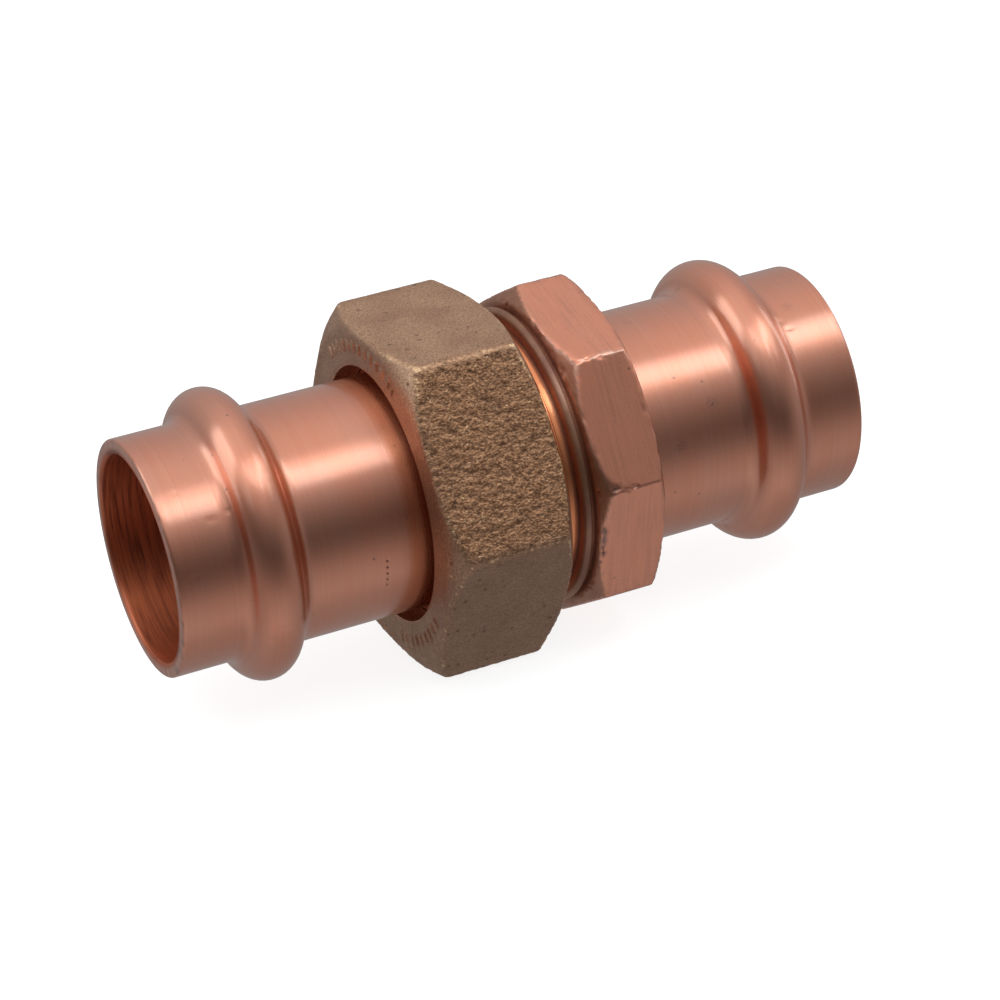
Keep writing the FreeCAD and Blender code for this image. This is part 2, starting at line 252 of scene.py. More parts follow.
def octagon_faces(along, out, angle):
    """How far a point lies outside each of the octagon's faces."""
    nearest, second = two_flats(out, angle, 8, OCTAGON_ACROSS, OCTAGON_TURN)
    begin = OCTAGON_ACROSS / 2 - (OCTAGON_START - OCTAGON_FACE) / math.tan(OCTAGON_FRONT_ANGLE)
    front = cone(along - OCTAGON_FACE, out, begin, OCTAGON_FRONT_ANGLE)
    rear = cone(OCTAGON_END - along, out, OCTAGON_ACROSS / 2, OCTAGON_REAR_ANGLE)
    return nearest, second, front, rear, OCTAGON_FACE - along, along - OCTAGON_END


def rounded_shape(faces, blends):
    """How far a point lies outside all the faces, with a rounding for each face after the first."""
    def shape(along, out, angle):
        distances = faces(along, out, angle)
        total = distances[0]
        for distance, blend in zip(distances[1:], blends):
            total = soft_max(total, distance, blend)
        return total
    return shape


nut_shape = rounded_shape(nut_faces, [0.5 * MM, 0.45 * MM, 0.3 * MM, 0.9 * MM, 0.25 * MM])
octagon_shape = rounded_shape(octagon_faces, [0.2 * MM, 0.2 * MM, 0.3 * MM, 0.2 * MM, 0.3 * MM])


def edge_nearness(faces, rings, angles, reach):
    """1 on the edges between two faces, falling to 0 at a reach from them."""
    distances = faces(rings[..., 0], rings[..., 1], angles[:, None])
    apart = np.sort(np.abs(np.stack(distances)), axis=0)[1]
    return np.clip(1 - apart / reach, 0, 1)


def ray_row(start, end, degrees, count):
    """Parallel rays from the points between two places: a list of (along, out, degrees)."""
    return [(*(np.array(start) + (np.array(end) - np.array(start)) * share), degrees)
            for share in np.linspace(0, 1, count)]


def ray_fan(centre, first, last, count):
    """Rays from one place, turning between two directions, the first and last left out."""
    return [(*centre, degrees) for degrees in np.linspace(first, last, count + 2)[1:-1]]


# A ray's exit is searched for over this length, which is halved this often
RAY_LENGTH = 9 * MM
HALVINGS = 26


def skin(shape, rays, angles, sink=0.0):
    """Where rays leave a shape, sunk below it by a distance: an array (angle, ray, 2)."""
    origins = np.array(rays)[:, :2]
    headings = np.radians(np.array(rays)[:, 2])
    near = np.zeros((len(angles), len(rays)))
    far = near + RAY_LENGTH
    for _ in range(HALVINGS):
        middle = (near + far) / 2
        along = origins[:, 0] + middle * np.cos(headings)
        out = origins[:, 1] + middle * np.sin(headings)
        inside = shape(along, out, angles[:, None]) + sink < 0
        near = np.where(inside, middle, near)
        far = np.where(inside, far, middle)
    return np.stack([along, out], axis=-1)


def thread_run(angles, start, end, middle, root, floor, crest, envelope):
    """A right-hand thread's surface between two places, as an array (angle, point, 2).

    middle is a groove's middle at the top of the pipe, floor and crest are the groove's bottom
    and the thread's tip, and envelope limits the distance from the axis.
    """
    flank = abs(crest - floor) * math.tan(math.radians(30))
    half_root = root / 2
    half_open = half_root + flank
    offsets = [half_root, half_open, PITCH - half_open, PITCH - half_root]
    groove = middle + PITCH * (angles / TURN - 0.25)
    first = math.floor((start - groove.max()) / PITCH) - 1
    last = math.ceil((end - groove.min()) / PITCH) + 1
    places = np.array([turns * PITCH + offset for turns in range(first, last) for offset in offsets])
    along = np.clip(groove[:, None] + places, start, end)
    phase = np.mod(along - groove[:, None], PITCH)
    off_groove = np.minimum(phase, PITCH - phase)
    climb = np.clip((off_groove - half_root) / flank, 0, 1)
    return np.stack([along, envelope(along, floor + (crest - floor) * climb)], axis=-1)


def scattered(keys, seed):
    """Three numbers from -1 to 1 for each whole-number cell, the same on every run."""
    mixed = (keys[..., 0] * 73856093) ^ (keys[..., 1] * 19349663) ^ (keys[..., 2] * 83492791)
    mixed = (mixed ^ (seed * 2654435761)) & 0xFFFFFFFF
    mixed = ((mixed ^ (mixed >> 15)) * 2246822519) & 0xFFFFFFFF
    mixed = ((mixed ^ (mixed >> 13)) * 3266489917) & 0xFFFFFFFF
    mixed = mixed ^ (mixed >> 16)
    return np.stack([(mixed >> shift & 1023) / 511.5 - 1 for shift in (0, 10, 20)], axis=-1)


def lattice_noise(points, size, seed):
    """Smooth noise from about -1 to 1 with features of about one size."""
    cells = np.asarray(points) / size
    base = np.floor(cells).astype(np.int64)
    part = cells - base
    fade = part ** 3 * (part * (part * 6 - 15) + 10)
    total = 0.0
    for corner in np.ndindex(2, 2, 2):
        lean = scattered(base + np.array(corner), seed)
        weight = np.prod(np.where(np.array(corner) == 1, fade, 1 - fade), axis=-1)
        total = total + weight * np.sum(lean * (part - np.array(corner)), axis=-1)
    return total


def pebbles(points, size, seed):
    """0 in the middle of scattered grains of about one size, rising to 1 between them."""
    cells = np.asarray(points) / size
    base = np.floor(cells).astype(np.int64)
    nearest = np.full(cells.shape[:-1], 9.0)
    for offset in np.ndindex(3, 3, 3):
        key = base + np.array(offset) - 1
        gap = key + 0.5 + 0.45 * scattered(key, seed) - cells
        nearest = np.minimum(nearest, np.sum(gap ** 2, axis=-1))
    return np.clip(np.sqrt(nearest), 0, 1)


def solid_points(rings, angles):
    """Places in space of outline points at their angles."""
    out = rings[..., 1]
    around = np.broadcast_to(angles[:, None], out.shape)
    return np.stack([rings[..., 0], out * np.cos(around), out * np.sin(around)], axis=-1)


# ---------------------------------------------------------------------------------------------
# Meshes
# ---------------------------------------------------------------------------------------------


WELD = 0.0002 * MM
SHARP_ANGLE = math.radians(32)


def even_angles(count, extra=()):
    """Angles all the way round; the last closes the turn. Extra ones are added where asked."""
    angles = np.linspace(0, TURN, count + 1)
    return np.unique(np.concatenate([angles, np.mod(np.array(extra, dtype=float), TURN)]))


def build_mesh(name, runs, angles, material, marks=()):
    """One closed mesh from runs of outline points, each an array (angle, point, 2).

    marks are (attribute name, run number, array (angle, point)) for the material to read.
    """
    rings = np.concatenate(runs, axis=1)
    rows, columns = rings.shape[:2]
    places = solid_points(rings, angles).reshape(-1, 3)
    row, column = np.meshgrid(np.arange(rows - 1), np.arange(columns), indexing="ij")
    following = (column + 1) % columns
    faces = np.stack([row * columns + column, row * columns + following,
                      (row + 1) * columns + following, (row + 1) * columns + column], axis=-1)
    mesh = bpy.data.meshes.new(name)
    mesh.from_pydata(places.tolist(), [], faces.reshape(-1, 4).tolist())
    starts = np.cumsum([0] + [run.shape[1] for run in runs])
    for title in sorted({mark[0] for mark in marks}):
        values = np.zeros((rows, columns), dtype=np.float32)
        for mark, run, amount in marks:
            if mark == title:
                values[:, starts[run]:starts[run + 1]] = amount
        layer = mesh.attributes.new(title, "FLOAT", "POINT")
        layer.data.foreach_set("value", values.ravel())
    mesh.materials.append(material)
    mesh.update()
    welded = bmesh.new()
    welded.from_mesh(mesh)
    bmesh.ops.remove_doubles(welded, verts=welded.verts, dist=WELD)
    bmesh.ops.dissolve_degenerate(welded, edges=welded.edges, dist=WELD)
    bmesh.ops.recalc_face_normals(welded, faces=welded.faces)
    welded.to_mesh(mesh)
    welded.free()
    mesh.shade_smooth()
    mesh.set_sharp_from_angle(angle=SHARP_ANGLE)
    piece = bpy.data.objects.new(name, mesh)
    bpy.context.scene.collection.objects.link(piece)
    return piece


# ---------------------------------------------------------------------------------------------
# Materials
# ---------------------------------------------------------------------------------------------


def add(tree, kind, inputs=None, **settings):
    """One node: inputs are numbers, colours or another node's socket, by name or by index."""
    node = tree.nodes.new("ShaderNode" + kind)
    for key, value in settings.items():
        setattr(node, key, value)
    for key, value in (inputs or {}).items():
        if isinstance(value, bpy.types.NodeSocket):
            tree.links.new(value, node.inputs[key])
        else:
            node.inputs[key].default_value = value
    return node


def new_material(name):
    material = bpy.data.materials.new(name)
    material.use_nodes = True
    tree = material.node_tree
    tree.nodes.clear()
    return material, tree


def finish_material(tree, shader):
    add(tree, "OutputMaterial", {"Surface": shader.outputs["BSDF"]})


def stretched(tree, scale):
    """Object coordinates times a number per metre on each axis, so that noise can be drawn out."""
    place = add(tree, "TexCoord").outputs["Object"]
    return add(tree, "Mapping", {"Vector": place, "Scale": scale}).outputs["Vector"]


def noise(tree, vector, size, detail=2.0):
    """A noise texture's value, from 0 to 1."""
    node = add(tree, "TexNoise", {"Vector": vector, "Scale": size, "Detail": detail})
    return node.outputs["Fac"]


def remap(tree, value, low, high, new_low, new_high):
    node = add(tree, "MapRange", {"Value": value, "From Min": low, "From Max": high,
                                  "To Min": new_low, "To Max": new_high})
    return node.outputs["Result"]


def blend_colours(tree, share, first, second):
    node = add(tree, "Mix", {0: share, 6: first, 7: second}, data_type="RGBA")
    return node.outputs[2]


def layered(tree, colour, layers):
    """A colour with others laid over it in turn, each by its own share."""
    for share, over in layers:
        colour = blend_colours(tree, share, colour, over)
    return colour


def marked(tree, name):
    """What the mesh says about a place: how worn, how deep, how rough or how bare it is, bare places
    carrying a painted glow.
    """
    return add(tree, "Attribute", attribute_name=name).outputs["Fac"]


def arithmetic(tree, operation, first, second):
    return add(tree, "Math", {0: first, 1: second}, operation=operation).outputs["Value"]


def weighted(tree, total, parts):
    """A value with others added to it, each times its own weight."""
    for value, weight in parts:
        total = arithmetic(tree, "ADD", total, arithmetic(tree, "MULTIPLY", value, weight))
    return total


def spots(tree, vector, size, reach, share):
    """1 at small scattered spots, on a share of a cell pattern, and 0 elsewhere."""
    cells = add(tree, "TexVoronoi", {"Vector": vector, "Scale": size})
    near = remap(tree, cells.outputs["Distance"], 0, reach, 1, 0)
    chosen = add(tree, "SeparateColor", {"Color": cells.outputs["Color"]}).outputs["Red"]
    return arithmetic(tree, "MULTIPLY", near, arithmetic(tree, "LESS_THAN", chosen, share))


# Copper, in linear colours: its skin, what lies over it in turn, and its tarnish
COPPER_RED = (0.80, 0.268, 0.142, 1)
COPPER_PALE = (0.76, 0.298, 0.180, 1)
LINE_COLOUR = (0.60, 0.22, 0.13, 1)
BROAD_COLOUR = (0.86, 0.38, 0.26, 1)
# Bare machined copper, its orange deepened as a painted glow of light bounced in the thread's groove
BARE_AND_GLOW_COLOUR = (0.94, 0.33, 0.14, 1)
# The bore's own skin, made darker and redder as painted shade and bounced red light deep in the tube
BORE_SKIN_AND_SHADE_COLOUR = (0.68, 0.18, 0.078, 1)
MILLED_COLOUR = (1.0, 0.33, 0.17, 1)
CUT_COLOUR = (0.42, 0.14, 0.075, 1)
RING_COLOUR = (0.22, 0.05, 0.028, 1)
COPPER_WORN = (0.90, 0.50, 0.36, 1)
SCUFF_COLOUR = (0.27, 0.12, 0.085, 1)
SPECK_COLOUR = (0.20, 0.085, 0.06, 1)
TARNISH_DARK = (0.30, 0.145, 0.105, 1)
TARNISH_LIGHT = (0.52, 0.27, 0.165, 1)


def make_copper():
    """Satin copper: turned lines round the pipe, faint tarnish, spots, and bare turned places, whose
    deeper orange is a painted glow of light bounced in the thread's groove.
    """
    material, tree = new_material("copper_satin")
    lines = noise(tree, stretched(tree, (9000, 25, 25)), 1.0, 3)
    broad = noise(tree, stretched(tree, (2600, 18, 18)), 1.0, 3)
    patches = noise(tree, stretched(tree, (180, 120, 120)), 1.0, 4)
    grit = noise(tree, stretched(tree, (5000, 5000, 5000)), 1.0, 2)
    streaks = noise(tree, stretched(tree, (2700, 160, 160)), 1.0, 3)
    specks = spots(tree, stretched(tree, (430, 430, 430)), 1.0, 0.1, 0.4)
    scuffs = spots(tree, stretched(tree, (230, 270, 270)), 1.0, 0.22, 0.12)
    scuffs = arithmetic(tree, "MULTIPLY", scuffs, remap(tree, grit, 0.42, 0.58, 0, 1))
    bare = marked(tree, "bare")
    inside = marked(tree, "inside")
    milled = marked(tree, "milled")
    worn = marked(tree, "worn")
    deep = marked(tree, "deep")
    tarnished = marked(tree, "tarnished")
    uneven = remap(tree, patches, 0.35, 0.6, 0.15, 1)
    cuts = remap(tree, streaks, 0.44, 0.72, 0, 0.36)
    fuzz = remap(tree, grit, 0.45, 0.7, 0, 0.22)
    grooves = arithmetic(tree, "MULTIPLY", milled, arithmetic(tree, "ADD", cuts, fuzz))
    grooves = arithmetic(tree, "MULTIPLY", grooves, uneven)
    rings = arithmetic(tree, "MULTIPLY", inside, remap(tree, streaks, 0.42, 0.66, 0, 0.85))
    rings = arithmetic(tree, "MULTIPLY", rings, uneven)
    brown = blend_colours(tree, remap(tree, patches, 0.4, 0.62, 0, 1), TARNISH_DARK, TARNISH_LIGHT)
    skin_colour = blend_colours(tree, remap(tree, patches, 0.35, 0.68, 0, 1), COPPER_RED, COPPER_PALE)
    tint = layered(tree, skin_colour, [
        (remap(tree, lines, 0.45, 0.75, 0, 0.25), LINE_COLOUR),
        (remap(tree, broad, 0.45, 0.8, 0, 0.3), BROAD_COLOUR),
        # bare copper, with the painted glow of bounced light
        (bare, BARE_AND_GLOW_COLOUR),
        # inside the bore: painted shade and bounced red light over its own skin
        (inside, BORE_SKIN_AND_SHADE_COLOUR),
        (arithmetic(tree, "MULTIPLY", milled, 0.5), MILLED_COLOUR),
        (grooves, CUT_COLOUR),
        (rings, RING_COLOUR),
        (tarnished, brown),
        (worn, COPPER_WORN),
        (arithmetic(tree, "MULTIPLY", scuffs, 0.75), SCUFF_COLOUR),
        (arithmetic(tree, "MAXIMUM", specks, deep), SPECK_COLOUR)])
    roughness = weighted(tree, remap(tree, lines, 0.3, 0.7, 0.27, 0.34), [
        (bare, -0.11), (inside, 0.2), (milled, 0.05), (worn, 0.15), (deep, 0.2), (tarnished, 0.1),
        (scuffs, 0.15)])
    height = weighted(tree, lines, [
        (broad, 0.8), (specks, -1), (scuffs, -1.5), (grit, 0.35), (grooves, -1.6), (rings, -1.5)])
    bump = add(tree, "Bump", {"Height": height, "Strength": 0.22, "Distance": 0.02 * MM})
    metal = weighted(tree, 1.0, [(inside, -0.12)])
    plain = arithmetic(tree, "MAXIMUM", inside, arithmetic(tree, "MAXIMUM", bare, tarnished))
    film = remap(tree, plain, 0, 1, 0.8, 0.15)
    around_pipe = add(tree, "Tangent", direction_type="RADIAL", axis="X")
    shader = add(tree, "BsdfPrincipled", {
        "Base Color": tint, "Metallic": metal, "Roughness": roughness, "Coat Weight": film,
        "Coat Roughness": 0.19, "Coat IOR": 2.0, "Specular Tint": (0.95, 0.82, 0.76, 1),
        "Anisotropic": 0.8, "Anisotropic Rotation": 0.25, "Tangent": around_pipe.outputs["Tangent"],
        "Normal": bump.outputs["Normal"]})
    finish_material(tree, shader)
    return material


# Bronze, in linear colours: its smooth and rough skins, and what lies over them in turn
SMOOTH_DARK = (0.58, 0.34, 0.218, 1)
SMOOTH_LIGHT = (0.76, 0.47, 0.305, 1)
ROUGH_DARK = (0.27, 0.126, 0.065, 1)
ROUGH_LIGHT = (0.62, 0.33, 0.18, 1)
# A darker, purpler brown, laid most on the two lower flats
DARKENED_COLOUR = (0.27, 0.16, 0.125, 1)
FINE_COLOUR = (0.25, 0.135, 0.088, 1)
PIT_COLOUR = (0.15, 0.08, 0.05, 1)
# Worn gold, also used for the painted glints
BRONZE_WORN_AND_GLINT = (0.88, 0.58, 0.34, 1)

RUBBER_BLACK = (0.022, 0.022, 0.024, 1)


def make_bronze():
    """Cast bronze: brown skin with pits and grains, gold where edges have worn bright, and painted
    glints: bright gold specks on the rough skin.
    """
    material, tree = new_material("bronze_cast")
    grain = noise(tree, stretched(tree, (3400, 4200, 4200)), 1.0, 3)
    fine = noise(tree, stretched(tree, (4600, 4600, 4600)), 1.0, 3)
    patches = noise(tree, stretched(tree, (210, 210, 210)), 1.0, 4)
    pits = spots(tree, stretched(tree, (900, 900, 900)), 1.0, 0.3, 0.3)
    # Scattered specks on the rough skin, painted bright gold as glints
    glints = spots(tree, stretched(tree, (1900, 2400, 2400)), 1.0, 0.3, 0.25)
    rough = marked(tree, "rough")
    worn = marked(tree, "worn")
    deep = marked(tree, "deep")
    dull = marked(tree, "dull")
    broken = remap(tree, weighted(tree, worn, [(fine, 1.5)]), 1.05, 1.4, 0, 1)
    # Worn edges, and the painted glints on the rough skin
    worn_and_glints = arithmetic(tree, "MAXIMUM", broken, arithmetic(tree, "MULTIPLY", glints, rough))
    smooth_skin = blend_colours(tree, remap(tree, patches, 0.35, 0.65, 0, 1), SMOOTH_DARK, SMOOTH_LIGHT)
    rough_skin = blend_colours(tree, remap(tree, grain, 0.38, 0.6, 0, 1), ROUGH_DARK, ROUGH_LIGHT)
    tint = layered(tree, smooth_skin, [
        (rough, rough_skin),
        (dull, DARKENED_COLOUR),
        (remap(tree, fine, 0.44, 0.64, 0, 0.62), FINE_COLOUR),
        (arithmetic(tree, "MAXIMUM", deep, pits), PIT_COLOUR),
        (worn_and_glints, BRONZE_WORN_AND_GLINT)])
    relief = arithmetic(tree, "MULTIPLY", grain, arithmetic(tree, "ADD", rough, 0.16))
    relief = weighted(tree, relief, [(fine, -0.25), (pits, -0.8)])
    bump = add(tree, "Bump", {"Height": relief, "Strength": 0.8, "Distance": 0.12 * MM})
    roughness = weighted(tree, 0.46, [(worn_and_glints, -0.14)])
    shader = add(tree, "BsdfPrincipled", {
        "Base Color": tint, "Metallic": 0.97, "Roughness": roughness,
        "Normal": bump.outputs["Normal"]})
    finish_material(tree, shader)
    return material


def make_rubber():
    material, tree = new_material("seal_rubber")
    grain = noise(tree, stretched(tree, (4000, 4000, 4000)), 1.0, 2)
    bump = add(tree, "Bump", {"Height": grain, "Strength": 0.3, "Distance": 0.02 * MM})
    shader = add(tree, "BsdfPrincipled", {
        "Base Color": RUBBER_BLACK, "Roughness": remap(tree, grain, 0.3, 0.7, 0.4, 0.55),
        "Normal": bump.outputs["Normal"]})
    finish_material(tree, shader)
    return material


COPPER = make_copper()
BRONZE = make_bronze()
RUBBER = make_rubber()


# ---------------------------------------------------------------------------------------------
# Pieces
# ---------------------------------------------------------------------------------------------


def dented(rings, angles, dents):
    """Outline points pressed inward at dents: (along, degrees, radius, depth)."""
    rings = rings.copy()
    places = solid_points(rings, angles)
    for along, degrees, radius, depth in dents:
        turned = math.radians(degrees)
        nearby = np.abs(rings[..., 0] - along) < radius
        nearby &= np.cos(angles - turned)[:, None] > 0.9
        reach = rings[..., 1][nearby]
        middle = np.stack([np.full(reach.shape, along), reach * math.cos(turned),
                           reach * math.sin(turned)], axis=-1)
        gap = np.linalg.norm(places[nearby] - middle, axis=-1) / radius
        rings[..., 1][nearby] -= depth * np.clip(1 - gap ** 2, 0, 1) ** 2
    return rings


def dings(first, last, count, seed):
    """Small shallow knocks scattered round the pipe between two places."""
    keys = np.stack([np.arange(count), np.zeros(count, int), np.zeros(count, int)], axis=-1)
    picked = scattered(keys, seed)
    return [(first + (last - first) * (along + 1) / 2, 180 * turned, (0.38 + 0.12 * size) * MM,
             (0.05 + 0.02 * size) * MM) for along, turned, size in picked]


def mouth_stain(rings, angles, mouth):
    """How dark the sawn end face is: uneven, and darkest in a few nicks."""
    at_mouth = np.abs(rings[..., 0] - mouth) < 0.12 * MM
    uneven = lattice_noise(solid_points(rings, angles), 1.1 * MM, 15)
    return at_mouth * np.clip(0.22 + 0.9 * uneven, 0, 0.8)


# Small knocks on the two press ends: from, to, how many, seed
TAILPIECE_DINGS = (station(2), station(13), 34, 5)
BODY_DINGS = (station(66), station(77), 16, 8)

# The row of small punched dots on the neck, where the outline has finer steps: the first one and
# the spacing are degrees round the pipe
DOTS_FROM = station(22.3)
DOTS_PLACE = station(22.6)
DOTS_TO = station(22.9)
DOT_COUNT = 5
FIRST_DOT = 185
DOT_SPACING = 3.6
DOT_RADIUS = 0.2 * MM
DOT_DEPTH = 0.09 * MM

# The neck's colour grows barer towards the nut, from this place and over this length
HEATED_START = station(24)
HEATED_LENGTH = 5 * MM
HEATED_SHARE = 0.4


def make_tailpiece():
    dots = [(DOTS_PLACE, FIRST_DOT + DOT_SPACING * index, DOT_RADIUS, DOT_DEPTH)
            for index in range(DOT_COUNT)]
    crowd = np.radians([dot[1] + near for dot in dots for near in (-0.8, -0.4, 0, 0.4, 0.8)])
    angles = even_angles(TAILPIECE_STEPS, crowd)
    path = press_end(STEP)
    straight(path, DOTS_FROM, TUBE, STEP)
    straight(path, DOTS_TO, TUBE, STEP / 5)
    straight(path, COLLAR_START, TUBE, STEP)
    straight(path, COLLAR_START, COLLAR, STEP)
    straight(path, COLLAR_END, COLLAR, STEP)
    nose_start = math.acos((COLLAR_END - BALL_CENTRE) / BALL)
    nose_end = math.acos((NOSE_END - BALL_CENTRE) / BALL)
    straight(path, COLLAR_END, BALL * math.sin(nose_start), STEP)
    turn(path, BALL_CENTRE, 0, math.degrees(nose_end - nose_start), STEP)
    straight(path, NOSE_END, WATERWAY, 2 * STEP)
    outside = dented(fixed(path, angles), angles, dots + dings(*TAILPIECE_DINGS))
    deep = np.zeros(outside.shape[:2])
    deep[np.abs(outside[..., 0] - DOTS_PLACE) < DOT_RADIUS] = 1
    deep *= np.clip((TUBE - 0.03 * MM - outside[..., 1]) / (0.04 * MM), 0, 1)
    deep = np.maximum(deep, mouth_stain(outside, angles, LEFT_MOUTH))
    heated = np.clip((outside[..., 0] - HEATED_START) / HEATED_LENGTH, 0, 1) * HEATED_SHARE
    inside = fixed(socket(2 * STEP), angles)
    piece = build_mesh("tailpiece_shell", [outside, inside], angles, COPPER,
                       [("deep", 0, deep), ("bare", 0, heated), ("inside", 1, 1)])
    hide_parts("tailpiece")
    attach(piece, "tailpiece")
    return piece


# Dark pits in the octagon's edges, and the ragged notch across one corner: how far from the front
# of the flats, degrees round the pipe, radius
OCTAGON_PITS = [(1.4, 171.6, 0.5), (3.6, 172.3, 0.25), (6.9, 148, 0.3)]
NOTCH = [(0.2, 186.6, 0.3), (0.3, 188.4, 0.5), (0.2, 190.7, 0.36), (0.35, 192.6, 0.55),
         (0.15, 195.2, 0.3), (0.25, 198.0, 0.46), (0.1, 201.5, 0.25)]
CHIP_DEPTH = 0.13 * MM
PIT_DEPTH = 0.2 * MM
BURRED_CORNER = 127.8
BURR_SPREAD = 3.0


def make_octagon(angles):
    """The octagon's outline points, and how worn, how deep and how unmilled they are."""
    inset = 0.9 * MM
    seat = NECK + 0.4 * MM
    rays = ray_row((OCTAGON_FACE + inset, NECK), (OCTAGON_FACE + inset, seat), 180, 3)
    rays += ray_fan((OCTAGON_FACE + inset, seat), 180, 90, 12)
    rays += ray_row((OCTAGON_FACE + inset, seat), (OCTAGON_END - inset, seat), 90, 26)
    rays += ray_fan((OCTAGON_END - inset, seat), 90, 0, 9)
    rays += ray_row((OCTAGON_END - inset, seat), (OCTAGON_END - inset, TUBE + OCTAGON_FILLET), 0, 6)
    plain = skin(octagon_shape, rays, angles)
    places = solid_points(plain, angles)
    ragged = lattice_noise(places, 0.9 * MM, 11) + 0.7 * lattice_noise(places, 0.4 * MM, 12)
    edge = edge_nearness(octagon_faces, plain, angles, 0.4 * MM)
    chips = np.clip(ragged * 2.2, 0, 1) * edge
    pits = np.zeros(plain.shape[:2])
    for inward, degrees, radius in OCTAGON_PITS + NOTCH:
        turned = math.radians(degrees)
        reach = plain[..., 1]
        middle = np.stack([np.full(reach.shape, OCTAGON_START + inward * MM),
                           reach * math.cos(turned), reach * math.sin(turned)], axis=-1)
        gap = np.linalg.norm(places - middle, axis=-1) / (radius * MM) + 0.5 * ragged
        pits = np.maximum(pits, np.clip(1.4 - 1.4 * gap, 0, 1))
    sink = chips * CHIP_DEPTH + pits * PIT_DEPTH
    burr = np.exp(-((np.degrees(angles) - BURRED_CORNER) / BURR_SPREAD) ** 2)[:, None]
    worn = np.clip(edge * 1.6 - 0.6 - 1.4 * ragged, 0, 1) * (0.15 + 0.85 * burr)
    off_flats = octagon_faces(plain[..., 0], plain[..., 1], angles[:, None])[0] < -0.12 * MM
    return skin(octagon_shape, rays, angles, sink), worn, pits * 0.9, off_flats * 0.8


# Fine tool marks in the relief
LINE_WIDTH = 0.1 * MM
LINE_DEPTH = 0.03 * MM


def make_union_body():
    corners = [OCTAGON_TURN + TURN * index / 8 for index in range(8)]
    crowd = np.radians([-1.5, -1.1, -0.8, -0.5, -0.25, 0, 0.25, 0.5, 0.8, 1.1, 1.5])
    angles = even_angles(BODY_STEPS, [corner + near for corner in corners for near in crowd])
    front = [(BODY_START, SEAT_MOUTH)]
    straight(front, BODY_START, BODY_MAJOR - LEAD_CHAMFER, STEP)

    def inside_chamfer(along, out):
        return np.minimum(out, BODY_MAJOR - LEAD_CHAMFER + (along - BODY_START))

    thread = thread_run(angles, BODY_START, THREAD_END, THREAD_LEAD_IN, BODY_ROOT, BODY_MINOR,
                        BODY_MAJOR, inside_chamfer)
    collar = [(THREAD_END, RELIEF)]
    for index in range(1, 4):
        groove = THREAD_END + (FLANGE_START - THREAD_END) * index / 7
        straight(collar, groove - LINE_WIDTH / 2, RELIEF, STEP)
        straight(collar, groove, RELIEF - LINE_DEPTH, STEP)
        straight(collar, groove + LINE_WIDTH / 2, RELIEF, STEP)
    straight(collar, FLANGE_START, RELIEF, STEP)
    shoulder = FLANGE - FLANGE_FRONT_ROUND
    straight(collar, FLANGE_START, shoulder, STEP)
    turn(collar, FLANGE_START + FLANGE_FRONT_ROUND, shoulder, -90, FLANGE_FRONT_ROUND / 6)
    straight(collar, NECK_START - FLANGE_REAR_ROUND, FLANGE, STEP)
    turn(collar, NECK_START - FLANGE_REAR_ROUND, FLANGE - FLANGE_REAR_ROUND, -90, FLANGE_REAR_ROUND / 3)
    straight(collar, NECK_START, NECK, STEP)
    on_flange = np.array([1.0 if along > FLANGE_START - 0.02 * MM else 0.0 for along, _ in collar])
    octagon, worn, pits, turned = make_octagon(angles)
    rear = [(OCTAGON_END, TUBE + OCTAGON_FILLET)]
    turn(rear, OCTAGON_END + OCTAGON_FILLET, TUBE + OCTAGON_FILLET, 90, STEP / 2)
    rear += mirrored(press_end(STEP))
    outside = dented(fixed(rear, angles), angles, dings(*BODY_DINGS))
    inside = mirrored(socket(2 * STEP))
    straight(inside, BODY_START + SEAT_MOUTH - WATERWAY, WATERWAY, 3 * STEP)
    runs = [fixed(front, angles), thread, fixed(collar, angles), octagon, outside,
            fixed(inside, angles)]
    # The thread and the relief are bare copper with a painted glow of light bounced in the groove
    marks = [("bare", 1, 0.7), ("bare", 2, 1 - on_flange), ("tarnished", 2, on_flange),
             ("tarnished", 3, turned), ("milled", 3, 1 - turned), ("worn", 3, worn),
             ("deep", 3, pits), ("deep", 4, mouth_stain(outside, angles, RIGHT_MOUTH)),
             ("inside", 5, 1)]
    piece = build_mesh("union_body_shell", runs, angles, COPPER, marks)
    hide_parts("union_body")
    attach(piece, "union_body")
    return piece


# How deep the casting's grain is on the six flats, from the one at 30 degrees on
FLAT_GRAIN = [0.5, 0.18, 1.0, 0.34, 0.7, 0.3]
# How much each flat, from the one at 30 degrees on, is darkened towards a purpler brown: most on the
# two lower flats
FLAT_DARKENING = [0.2, 0.0, 0.0, 0.55, 0.4, 0.1]
FACE_GRAIN = 0.25
# How much the faces off the flats are darkened
FACE_DARKENING = 0.25
GRAIN_DEPTH = 0.22 * MM


def by_flat(amounts, angles):
    """Each flat's own amount, changing over a few degrees at the corners."""
    degrees = np.mod(np.degrees(angles), 360)
    places = [60 * index + side for index in range(-1, 8) for side in (2.5, 57.5)]
    values = [amounts[index % 6] for index in range(-1, 8) for _ in range(2)]
    return np.interp(degrees, places, values)[:, None]


# Plain raised bars on the nut's front face: two arcs and the pitch, in degrees, the circle that the
# bars stand on, and the radius of the recess round them
BAR_ARCS = ((52, 116), (218, 262))
BAR_PITCH = 5.4
BAR_CIRCLE = 16.35 * MM
BAR_HALF_LENGTH = 0.75 * MM
BAR_HEIGHT = 0.16 * MM
RECESS = 17.6 * MM


